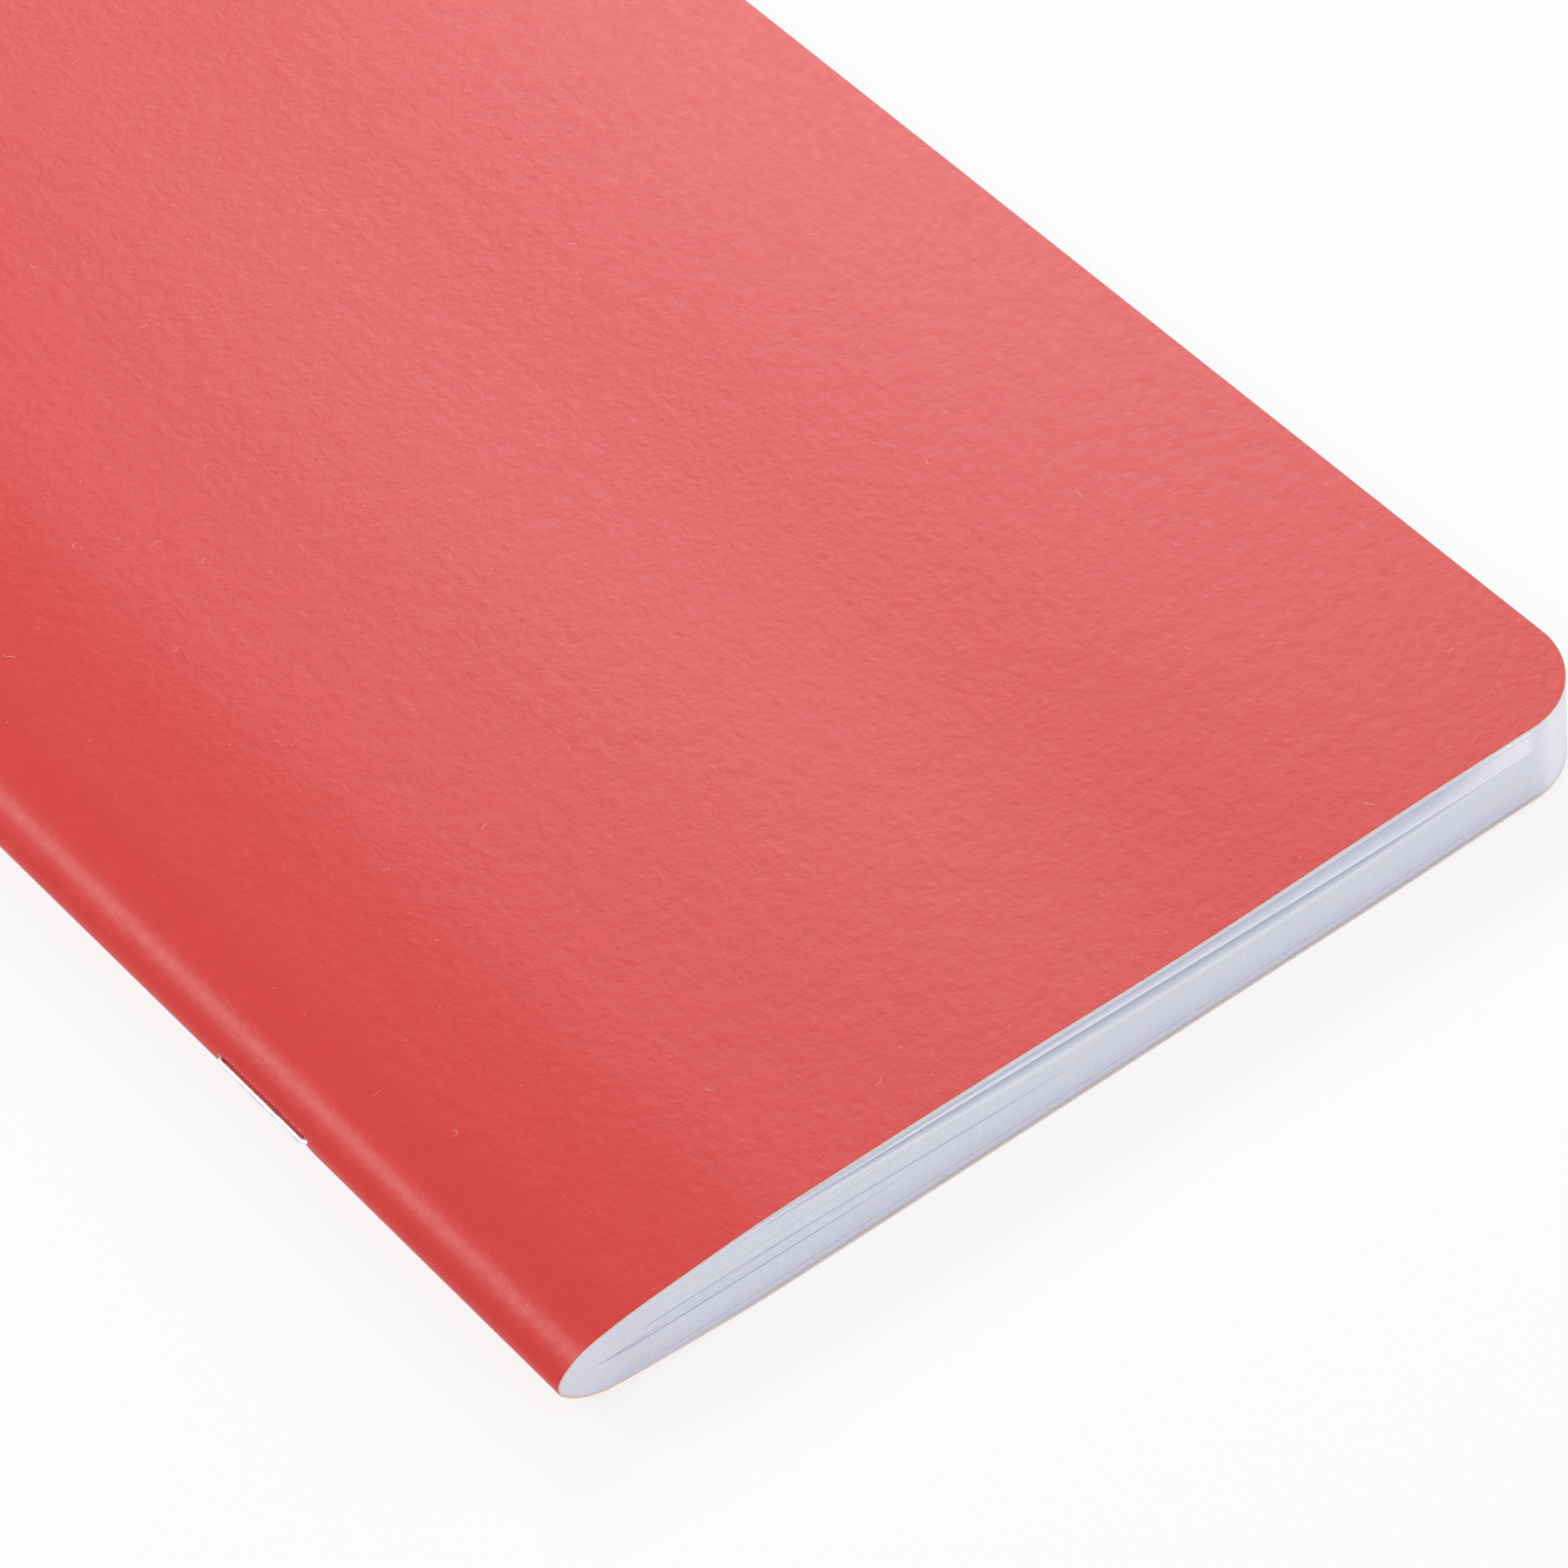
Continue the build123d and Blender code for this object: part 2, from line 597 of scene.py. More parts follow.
@dataclass(frozen=True)
class StudioWhite:
    """The floor: pale, lit like the book, and white to the camera under the book's own shadow."""

    colour: tuple = rgb(246, 246, 247)
    lift: float = 0.82

    def material(self) -> Material:
        """Builds the floor's finish.

        Returns:
            The material.
        """
        g = Surface("studio_floor")
        place = g.node("ShaderNodeTexCoord", None, None, "Object")
        cloud = g.noise(place, 3.0, 2.0)
        colour = g.mix(cloud * 0.3, self.colour, rgb(243, 243, 245))
        matt = g.node("ShaderNodeBsdfDiffuse", None, {"Color": colour})
        glow = g.node("ShaderNodeEmission", None, {"Color": rgb(255, 255, 255), "Strength": 1.0})
        shader = g.node("ShaderNodeMixShader", None, {0: g.unlit_view() * self.lift, 1: matt, 2: glow})
        g.end("ShaderNodeOutputMaterial", {"Surface": shader})
        return g.material


# --- The spine's section ---


@dataclass(frozen=True)
class Dip:
    """A place where handling pressed a cover in, along x from the spine."""

    depth: float
    middle: float
    spread: float

    def at(self, x: Array) -> Array:
        """How far the cover lies in at x."""
        return self.depth * bell(x, self.middle, self.spread)


@dataclass(frozen=True)
class Section:
    """The book's section across the spine: x from the spine to the fore edge, rise from the middle up.

    The layers are nested: each lies at some depth under the cover's outside, follows a small arc at
    the spine's tip and a large one over the shoulder, and then swells to its flat level.
    """

    width: float
    height: float
    half_thickness: float
    corner_radius: float = 8.0 * MM
    sheet_count: int = 24
    card: float = 0.30 * MM
    paper: float = 0.11 * MM
    clearance: float = 0.005 * MM
    tip_radius: float = 1.6 * MM
    shoulder_drop: float = 3.6 * MM
    fold_spare: float = 0.36 * MM
    swell_length: float = 23.0 * MM
    hinge_setback: float = 0.9 * MM
    half_gap: float = 0.06 * MM
    eye: float = 0.05 * MM
    neck: Dip = Dip(0.28 * MM, 4.2 * MM, 1.9 * MM)
    slack: Dip = Dip(0.12 * MM, 14 * MM, 7 * MM)
    sag: Dip = Dip(0.46 * MM, 66 * MM, 15 * MM)
    belly: Dip = Dip(0.20 * MM, 6.5 * MM, 4 * MM)
    lift_height: float = 0.34 * MM
    lift: tuple[float, float] = (80 * MM, 104 * MM)
    tail_weight: float = 60 * MM
    bend_weight: float = 0.3 * MM
    bend_reach: float = 0.98

    @property
    def pitch(self) -> float:
        """From one sheet to the next where they are pressed at the spine."""
        return self.paper + self.clearance

    @property
    def stack_depth(self) -> float:
        """From the spine's outside to the inside of the innermost sheet."""
        return self.card + self.sheet_count * self.pitch

    @property
    def shoulder_radius(self) -> float:
        """Of the cover's outside over the shoulder."""
        return self.stack_depth + self.fold_spare + self.shoulder_drop

    @property
    def shoulder_x(self) -> float:
        """Where the shoulder's arcs have their centre."""
        return self.tip_radius + sqrt((self.shoulder_radius - self.tip_radius) ** 2 - self.shoulder_drop**2)

    @property
    def fold_x(self) -> float:
        """The innermost fold, and the hinge."""
        inner = self.shoulder_radius - self.stack_depth
        return self.shoulder_x - sqrt(inner**2 - self.shoulder_drop**2)

    @property
    def root_x(self) -> float:
        """Where the flat halves begin."""
        return self.fold_x + self.hinge_setback

    def sheet_depth(self, index: int) -> float:
        """The outside of a sheet, counted from the outermost."""
        return self.card + self.clearance + index * self.pitch

    def fold_line(self, depth: float, steps: int) -> tuple[Array, Array]:
        """The upper half of a layer's line round the spine, from the tip to root_x.

        Args:
            depth: How far it lies under the cover's outside.
            steps: How many pieces the line has.

        Returns:
            The x and rise of its points.
        """
        tip = self.tip_radius - depth
        radius = self.shoulder_radius - depth
        last = pi / 2 + asin((self.shoulder_x - self.root_x) / radius)
        change = pi - atan2(self.shoulder_drop, self.shoulder_x - self.tip_radius)
        change = change if tip > 0 else pi - asin(self.shoulder_drop / radius)
        turns = (pi, change, last) if tip > 0 else (change, change, last)
        tip_share = (max(tip, 0.0) + self.bend_weight) * (turns[0] - turns[1])
        length = tip_share + (radius + self.bend_weight) * (turns[1] - turns[2])
        along = np.linspace(0, length, steps + 1)
        angle = np.interp(along, (0, tip_share, length), turns)
        on_tip = (angle > change) & (tip > 0)
        size = np.where(on_tip, tip, radius)
        x = np.where(on_tip, self.tip_radius, self.shoulder_x) + size * np.cos(angle)
        rise = size * np.sin(angle) - np.where(on_tip, 0.0, self.shoulder_drop)
        return x, np.maximum(rise, 0.0)

    def level(self, depth: float, flat: float, x: Array) -> Array:
        """A layer's height over the middle at x: on its arc as far as root_x, and then swelling.

        Args:
            depth: How far it lies under the cover's outside at the spine.
            flat: Its level where the book is flat.
            x: Where the height is wanted, from fold_x outwards.

        Returns:
            The heights.
        """
        radius = self.shoulder_radius - depth
        away = np.minimum(self.shoulder_x - np.minimum(x, self.root_x), radius)
        on_arc = np.sqrt(radius**2 - away**2) - self.shoulder_drop
        root = sqrt(radius**2 - (self.shoulder_x - self.root_x) ** 2) - self.shoulder_drop
        t = np.clip((x - self.root_x) / (self.swell_length - self.root_x), 0.0, 1.0)
        return np.where(x < self.root_x, on_arc, root + (flat - root) * (2 * t - t * t))

    def settled(self, x: Array, rise: Array) -> Array:
        """Closes the eye inside the innermost fold and draws the layers towards it.

        Args:
            x: Where the points lie.
            rise: Their heights over the middle, with their signs.

        Returns:
            The heights after settling.
        """
        outer = self.level(self.card, self.half_thickness - self.card, x)
        inner = self.level(self.stack_depth, self.half_gap, x)
        closed = np.minimum(inner, self.eye)
        size = np.abs(rise)
        drawn = outer - (outer - size) * (outer - closed) / (outer - inner)
        size = np.where((x > self.fold_x) & (size < outer), drawn, size)
        return np.where(rise < 0, -1.0, 1.0) * size

    def relaxed(self, x: Array, y: Array, rise: Array) -> Array:
        """What handling did to the book: the front sags, the spine is nipped in, a corner lifts.

        Args:
            x: From the spine.
            y: Along it, from the middle to the head.
            rise: Over the middle plane.

        Returns:
            How far each point moves up.
        """
        toward_tail = 0.65 - 0.35 * np.tanh(y / self.tail_weight)
        top = -self.neck.at(x) - self.slack.at(x) - self.sag.at(x) * toward_tail
        bottom = self.lift_height * toward_tail * smoothstep(*self.lift, x) - self.belly.at(x)
        share = np.clip(rise / self.half_thickness, -1.0, 1.0)
        return np.maximum(share, 0.0) * top + np.maximum(-share, 0.0) * bottom

    def reach(self, x: Array) -> Array:
        """Half the book's height at x, which the rounded corners shorten near the fore edge."""
        into = np.clip(x - (self.width - self.corner_radius), 0.0, self.corner_radius)
        return self.height / 2 - self.corner_radius + np.sqrt(self.corner_radius**2 - into**2)

    def to_part(self, x: Array, y: Array, rise: Array) -> Array:
        """Points of the section put into the part's frame."""
        place = np.broadcast_arrays(x - self.width / 2, y, self.half_thickness + rise)
        return np.stack(place, axis=-1)

    def bend_line(self, flats: Array) -> list[tuple[float, float, float]]:
        """Where a folded piece begins and ends to bend, across the hinge.

        Args:
            flats: Its points that stay flat, which lie wholly beyond one end or the other.

        Returns:
            The two ends of the line.
        """
        reach = self.bend_reach * np.abs(flats[..., 2] - self.half_thickness).min()
        hinge_x = self.fold_x - self.width / 2
        return [(hinge_x, 0.0, self.half_thickness + side * reach) for side in (-1, 1)]


@dataclass(frozen=True)
class StitchPlace:
    """Where the wire stitches sit."""

    from_edge: float = 41.0 * MM
    crown_length: float = 12.8 * MM
    wire: float = 0.50 * MM
    clearance: float = 0.04 * MM
    dent: float = 0.24 * MM
    dent_inset: float = 0.1 * MM
    dent_ends: float = 0.55 * MM
    dent_height: float = 0.85 * MM
    strain: float = 0.25
    strain_reach: float = 14 * MM

    def middles(self, height: float) -> tuple[float, float]:
        """The middle of each stitch along the spine."""
        return (self.from_edge - height / 2, height / 2 - self.from_edge)

    @property
    def half_crown(self) -> float:
        """From the middle of a stitch to the line of each leg."""
        return (self.crown_length - self.wire) / 2

    @property
    def half_hole(self) -> float:
        """Half the width of the hole for a leg."""
        return self.wire / 2 + self.clearance

    def pressed(self, section: Section, x: Array, y: Array, rise: Array) -> Array:
        """How far the wire presses the spine inwards.

        Args:
            section: The book's section.
            x: From the spine.
            y: Along it.
            rise: Over the middle plane.

        Returns:
            The move along x.
        """
        under = np.zeros_like(y)
        for middle in self.middles(section.height):
            edge = self.half_crown - self.dent_inset - np.abs(y - middle)
            under = under + 0.5 * (1 + np.tanh(edge / self.dent_ends))
            under = under + self.strain * bell(y, middle, self.strain_reach)
        fade = np.clip(1 - x / section.fold_x, 0.0, 1.0)
        return self.dent * np.minimum(under, 1.0) * fade * bell(rise, 0.0, self.dent_height)


# --- Folded pieces ---


@dataclass
class FoldedPiece:
    """A sheet or cover folded round the spine: an outside and an inside surface and the edge between."""

    section: Section
    stitches: StitchPlace
    fold_steps: int = 20
    hole_steps: int = 1
    swell_columns: int = 9
    flat_columns: int = 43
    corner_columns: int = 16
    crowding: float = 1.3
    row_places: tuple[float, ...] = (0, 15 * MM, 64 * MM, 77 * MM)
    edge_row: float = 1.5 * MM
    stitch_rows: tuple[float, ...] = (0, 3 * MM, 9 * MM)
    beside_leg: float = 1.0 * MM
    sharp_angle: float = 38.0

    def columns(self) -> Array:
        """The mesh's columns beyond root_x.

        Returns:
            Their x from the spine.
        """
        s = self.section
        swell = np.linspace(0, 1, self.swell_columns + 1)[1:] ** self.crowding
        near = s.root_x + swell * (s.swell_length - s.root_x)
        flat = np.linspace(s.swell_length, s.width - s.corner_radius, self.flat_columns + 1)[1:]
        angle = np.linspace(0, pi / 2, self.corner_columns + 1)[1:]
        corner = s.width - s.corner_radius + s.corner_radius * np.sin(angle)
        return np.concatenate([near, flat, corner])

    def rows(self) -> Array:
        """The mesh's rows, from the tail to the head.

        Returns:
            Their y where no corner shortens them.
        """
        half, half_hole, leg = self.section.height / 2, self.stitches.half_hole, self.stitches.half_crown
        legs = [leg - self.beside_leg, leg - half_hole, leg + half_hole, leg + self.beside_leg]
        places = [(0.0, [half, half - self.edge_row, *self.row_places])]
        places += [(middle, [*self.stitch_rows, *legs]) for middle in self.stitches.middles(2 * half)]
        rows = {round(middle + side * y, 7) for middle, ys in places for y in ys for side in (-1, 1)}
        return np.array(sorted(rows))

    def hole_rows(self, rows: Array) -> list[int]:
        """The rows that begin a hole for a leg of wire.

        Args:
            rows: The y of the rows.

        Returns:
            The numbers of those rows.
        """
        middles = self.stitches.middles(self.section.height)
        legs = [middle + side * self.stitches.half_crown for middle in middles for side in (-1, 1)]
        return [int(np.argmin(np.abs(rows - (leg - self.stitches.half_hole)))) for leg in legs]

    def round_spine(self, depth: float) -> tuple[Array, Array]:
        """A layer's whole line round the spine, from the back root to the front root."""
        x, rise = self.section.fold_line(depth, self.fold_steps)
        return np.concatenate([x[::-1], x[1:]]), np.concatenate([-rise[::-1], rise[1:]])

    def surface(self, depth: float, back: Array, front: Array, rows: Array) -> tuple[Array, Array]:
        """One surface of the piece.

        Args:
            depth: How far it lies under the cover's outside at the spine.
            back: Its height over the middle at each column and row of the back half.
            front: The same for the front half.
            rows: The y of the rows.

        Returns:
            The points, by place round the section and row, and their x from the spine, negative at the back.
        """
        s = self.section
        spine_x, spine_rise = self.round_spine(depth)
        spine_rise = s.settled(spine_x, spine_rise)
        flat_x = self.columns()
        x = np.concatenate([flat_x[::-1], spine_x, flat_x])[:, None]
        spine = np.repeat(spine_rise[:, None], len(rows), axis=1)
        rise = np.concatenate([back[::-1], spine, front])
        y = rows[None, :] * s.reach(x) / (s.height / 2)
        signed = x * np.where(np.arange(len(x)) < len(x) // 2, -1.0, 1.0)[:, None]
        x = x + self.stitches.pressed(s, x, y, rise)
        points = s.to_part(x, y, rise + s.relaxed(x, y, rise))
        return points, np.broadcast_to(signed, points.shape[:2])

    def faces(self, count: int, rows: Array) -> tuple[Array, Array]:
        """The quads of the closed piece.

        Args:
            count: How many places it has round the section.
            rows: The y of its rows.

        Returns:
            The quads and the side that each belongs to.
        """
        n_rows = len(rows)
        grid = np.arange(count * n_rows).reshape(count, n_rows)
        under = grid + count * n_rows
        a, b, c, d = grid[:-1, :-1], grid[1:, :-1], grid[1:, 1:], grid[:-1, 1:]
        keep = np.ones((count - 1, n_rows - 1), bool)
        middle = (count - 1) // 2
        low, high = middle - self.hole_steps, middle + self.hole_steps
        holes = []
        for row in self.hole_rows(rows):
            keep[low:high, row] = False
            rim = [(i, row) for i in range(low, high + 1)]
            rim += [(i, row + 1) for i in range(high, low - 1, -1)]
            holes += zip(rim, rim[1:] + rim[:1])
        outside = np.stack([a, b, c, d], -1)[keep]
        inside = np.stack([d, c, b, a], -1)[keep] + count * n_rows
        walls = [(grid[p], grid[q], under[q], under[p]) for p, q in holes]
        tail = np.stack([under[:-1, 0], under[1:, 0], grid[1:, 0], grid[:-1, 0]], -1)
        head = np.stack([grid[:-1, -1], grid[1:, -1], under[1:, -1], under[:-1, -1]], -1)
        front = np.stack([grid[-1, :-1], under[-1, :-1], under[-1, 1:], grid[-1, 1:]], -1)
        back = np.stack([grid[0, :-1], grid[0, 1:], under[0, 1:], under[0, :-1]], -1)
        edge = np.concatenate([tail, head, front, back, np.array(walls)])
        groups = (outside, inside, edge)
        return np.concatenate(groups), np.repeat(list(Face), [len(group) for group in groups])

    def build(
        self, name: str, sides: tuple[Array, Array], across: Array, rows: Array, finishes: list[Material]
    ) -> Piece:
        """Makes the piece's object.

        Args:
            name: The piece's name.
            sides: The points of its outside and of its inside.
            across: Each point's way across the unfolded piece, for both sides.
            rows: The y of its rows.
            finishes: Its materials, by Face.

        Returns:
            The object, in the scene.
        """
        quads, faces = self.faces(len(across), rows)
        points = np.concatenate([side.reshape(-1, 3) for side in sides])
        mesh = bpy.data.meshes.new(name)
        mesh.from_pydata(points.tolist(), [], quads.tolist())
        mesh.polygons.foreach_set("material_index", faces.astype(np.int32))
        self.store(mesh, REST, points)
        flat = np.concatenate([across.ravel(), across.ravel()])
        self.store(mesh, UNFOLDED, np.stack([flat, points[:, 1], np.zeros(len(points))], -1))
        mesh.shade_smooth()
        mesh.set_sharp_from_angle(angle=radians(self.sharp_angle))
        mesh.validate()
        for finish in finishes:
            mesh.materials.append(finish)
        return linked(name, mesh)

    @staticmethod
    def store(mesh: bpy.types.Mesh, name: str, values: Array) -> None:
        """Keeps a number or a vector for each vertex in the mesh, where materials read it."""
        kind, key = ("FLOAT", "value") if values.ndim == 1 else ("FLOAT_VECTOR", "vector")
        mesh.attributes.new(name, kind, "POINT").data.foreach_set(key, values.astype(np.float32).ravel())


@dataclass
class Cover(FoldedPiece):
    """The card cover, in one piece from one fore edge round the spine to the other."""

    fold_steps: int = 28
    hole_steps: int = 2
    bevel_inset: float = 0.035 * MM
    bevel_drop: float = 0.12

    def columns(self) -> Array:
        """The columns, with one more close to the fore edge for its rounded rim."""
        columns = super().columns()
        return np.sort(np.append(columns, columns[-1] - self.bevel_inset))

    def rows(self) -> Array:
        """The rows, with one more close to the tail and the head."""
        rows = super().rows()
        return np.sort(np.append(rows, [rows[0] + self.bevel_inset, rows[-1] - self.bevel_inset]))

    def make(self, finishes: list[Material]) -> Piece:
        """Builds the cover.

        Args:
            finishes: Its materials, by Face.

        Returns:
            The cover.
        """
        s, rows, x = self.section, self.rows(), self.columns()
        shape = (len(x), len(rows))
        surfaces = []
        for depth, flat in ((0.0, s.half_thickness), (s.card, s.half_thickness - s.card)):
            height = np.broadcast_to(self.swell(depth, flat, x)[:, None], shape)
            surfaces.append(self.surface(depth, -height, height, rows))
        (outside, signed), (inside, _) = surfaces
        outside = self.rounded_rim(outside, inside)
        across = self.unfolded(outside)
        piece = self.build("cover", (outside, inside), across, rows, finishes)
        self.store(piece.data, COAT, np.repeat([1.0, 0.0], outside.size // 3))
        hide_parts("cover_front", "cover_back", "cover_spine")
        start, end = s.bend_line(np.stack([outside, inside])[:, np.abs(across) >= s.swell_length])
        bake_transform(piece)
        return piece

    def swell(self, depth: float, flat: float, x: Array) -> Array:
        """The cover's height over the middle, leaving the shoulder's arc without a kink.

        Args:
            depth: Of the surface under the cover's outside.
            flat: Its flat level.
            x: The columns.

        Returns:
            The heights.
        """
        s = self.section
        radius = s.shoulder_radius - depth
        rise = sqrt(radius**2 - (s.shoulder_x - s.root_x) ** 2)
        root, slope = rise - s.shoulder_drop, (s.shoulder_x - s.root_x) / rise
        length = s.swell_length - s.root_x
        t = np.clip((x - s.root_x) / length, 0.0, 1.0)
        return root + (flat - root) * (3 * t**2 - 2 * t**3) + slope * length * (t - 2 * t**2 + t**3)

    def rounded_rim(self, outside: Array, inside: Array) -> Array:
        """Lets the outermost ring of the outside drop, as cut card does.

        Args:
            outside: The points of the outside.
            inside: The points of the inside.

        Returns:
            The outside with its rim dropped.
        """
        dropped = outside + (inside - outside) * self.bevel_drop
        rim = np.zeros(outside.shape[:2], bool)
        rim[[0, -1], :] = True
        rim[:, [0, -1]] = True
        return np.where(rim[..., None], dropped, outside)

    @staticmethod
    def unfolded(points: Array) -> Array:
        """How far each point lies from the spine along the surface.

        Args:
            points: The points of the surface.

        Returns:
            The ways, negative at the back.
        """
        line = points[:, points.shape[1] // 2]
        steps = np.linalg.norm(np.diff(line, axis=0), axis=1)
        along = np.concatenate([[0.0], np.cumsum(steps)])
        return np.repeat((along - along[len(along) // 2])[:, None], points.shape[1], axis=1)


@dataclass(frozen=True)
class Opening:
    """A place in the block where two leaves stand apart, from one x to another."""

    leaf: int
    width: float
    start: float
    end: float
    fade: float = 12 * MM


@dataclass
class PageBlock:
    """The nested sheets. Leaves are counted from the back cover to the front one."""

    section: Section
    stitches: StitchPlace
    seed: int = 5
    base_gap: float = 0.004 * MM
    ripple: float = 0.012 * MM
    leaf_scatter: float = 0.10
    settle_length: float = 7.0 * MM
    stiff_from: float = 14.0 * MM
    edge_scatter: float = 0.009 * MM
    edge_lean: float = 0.004 * MM
    waves: tuple[float, float] = (40, 150)
    ledge_step: float = 0.14 * MM
    ledge_width: float = 1.3 * MM
    ledge_start: tuple[float, float] = (9 * MM, 26 * MM)
    ledge_end: tuple[float, float] = (-0.4 * MM, 1.2 * MM)
    openings: tuple[Opening, ...] = (
        Opening(1, 0.04 * MM, 10 * MM, 112 * MM),
        Opening(4, 0.06 * MM, 8 * MM, 104 * MM),
        Opening(22, 0.03 * MM, 6 * MM, 30 * MM),
        Opening(24, 0.03 * MM, 0 * MM, 26 * MM),
        Opening(26, 0.04 * MM, 8 * MM, 30 * MM),
        Opening(33, 0.02 * MM, 8 * MM, 40 * MM),
        Opening(45, 0.05 * MM, 14 * MM, 112 * MM),
        Opening(48, 0.03 * MM, 10 * MM, 34 * MM),
    )

    def __post_init__(self) -> None:
        """Draws the leaves' small differences once."""
        draw = np.random.default_rng(self.seed)
        leaves = 2 * self.section.sheet_count
        self.share = 1 + self.leaf_scatter * draw.uniform(-1, 1, leaves)
        self.wave = draw.uniform(*self.waves, (leaves + 1, 2))
        self.phase = draw.uniform(0, 2 * pi, (leaves + 1, 2))
        self.offset = self.edge_lean + self.edge_scatter * draw.permutation(leaves // 2) / (leaves // 2)

    def gaps(self, x: Array, y: Array) -> Array:
        """The air under each leaf and over the last one.

        Args:
            x: The columns.
            y: The rows.

        Returns:
            The gaps, by leaf, column and row.
        """
        x, y = x[None, :, None], y[None, None, :]
        wave, phase = self.wave[:, :, None, None], self.phase[:, :, None, None]
        ripple = np.cos(wave[:, 0] * x + phase[:, 0]) * np.cos(wave[:, 1] * y + phase[:, 1])
        gaps = self.base_gap + self.ripple * np.maximum(ripple, 0.0) ** 2
        for opening in self.openings:
            # It opens three times as fast as it closes
            here = smoothstep(opening.start, opening.start + opening.fade / 3, x[0])
            here = here * (1 - smoothstep(opening.end - opening.fade, opening.end, x[0]))
            gaps[opening.leaf] += opening.width * here
        return gaps

    def leaf_faces(self, x: Array, y: Array) -> tuple[Array, Array]:
        """The underside and the top of every leaf over the middle plane.

        Args:
            x: The columns beyond root_x.
            y: The rows.

        Returns:
            Two arrays by leaf, column and row.
        """
        s, count, gaps = self.section, self.section.sheet_count, self.gaps(x, y)
        wall = s.level(s.card, s.half_thickness - s.card, x)[:, None]
        under, over = np.zeros((2, 2 * count, len(x), len(y)))
        for first, floor in ((0, -wall), (count, np.zeros_like(wall))):
            air = gaps[first : first + count + 1].copy()
            air[0 if first else -1] *= 0.5
            share = self.share[first : first + count]
            paper = share[:, None, None] * (wall - air.sum(0)) / share.sum()
            base = floor + np.cumsum(air[:-1], 0) + np.cumsum(paper, 0) - paper
            under[first : first + count] = base
            over[first : first + count] = base + paper
        return under, over

    def pressed_level(self, depth: float, flat: float, x: Array, half: Half) -> Array:
        """A surface of a leaf as the spine presses it, over the middle plane."""
        return self.section.settled(x, half * self.section.level(depth, flat, x))

    def tail_cut(self, x: Array, z: Array) -> Array:
        """What the knife left at the tail: a shallow ledge that runs down towards the fore edge.

        Args:
            x: From the spine.
            z: Over the table.

        Returns:
            How far the cut lies behind the tail.
        """
        s = self.section
        line = polynomial(LEDGE_LINE, x / MM) * MM
        below = np.clip((line - z) / self.ledge_width, 0.0, 1.0)
        corner = s.width - s.corner_radius
        start, end = (corner + place for place in self.ledge_end)
        here = smoothstep(*self.ledge_start, x) * (1 - smoothstep(start, end, x))
        return self.ledge_step * here * (1 - (1 - below) ** 3)

    def make(self, finishes: list[Material]) -> list[Piece]:
        """Builds all the sheets.

        Args:
            finishes: Their materials, by Face.

        Returns:
            The sheets, from the outermost inwards.
        """
        s = self.section
        folded = FoldedPiece(s, self.stitches)
        x, rows = folded.columns(), folded.rows()
        under, over = self.leaf_faces(x, rows)
        flat_pitch = (s.half_thickness - s.card - s.half_gap) / s.sheet_count
        loose = smoothstep(s.root_x, s.root_x + self.settle_length, x)[:, None]
        made = []
        for index in range(s.sheet_count):
            depth, flat = s.sheet_depth(index), s.half_thickness - s.card - index * flat_pitch
            front = 2 * s.sheet_count - 1 - index
            free = ((under[index], over[front]), (over[index], under[front]))
            surfaces = []
            for levels, down in zip(free, (0.0, s.paper)):
                halves = []
                for level, half in zip(levels, (Half.BACK, Half.FRONT)):
                    pressed = self.pressed_level(depth + down, flat - down, x, half)[:, None]
                    halves.append(pressed + (level - pressed) * loose)
                surfaces.append(folded.surface(depth + down, *halves, rows))
            made.append(self.make_sheet(folded, index, surfaces, rows, finishes))
        return made

    def make_sheet(
        self,
        folded: FoldedPiece,
        index: int,
        surfaces: list[tuple[Array, Array]],
        rows: Array,
        finishes: list[Material],
    ) -> Piece:
        """Builds one sheet.

        Args:
            folded: The builder of its mesh.
            index: Its place, from the outermost.
            surfaces: Its outside and its inside.
            rows: The y of the rows.
            finishes: Its materials, by Face.

        Returns:
            The sheet.
        """
        s = self.section
        for points, signed in surfaces:
            short = self.offset[index] + self.edge_lean * np.tanh(signed[:, 0] / MM)
            points[:, 0, 1] += short + self.tail_cut(np.abs(signed[:, 0]), points[:, 0, 2])
            points[:, -1, 1] -= short
        (outside, signed), (inside, _) = surfaces
        name = f"sheet_{index + 1:02d}"
        piece = folded.build(name, (outside, inside), signed, rows, finishes)
        nodes = [f"{name}_front", f"{name}_back"] + (["sheet_folds"] if index == 0 else [])
        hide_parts(*nodes)
        start, end = s.bend_line(np.stack([outside, inside])[:, np.abs(signed) >= self.stiff_from])
        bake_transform(piece)
        return piece


# --- Wire stitches ---


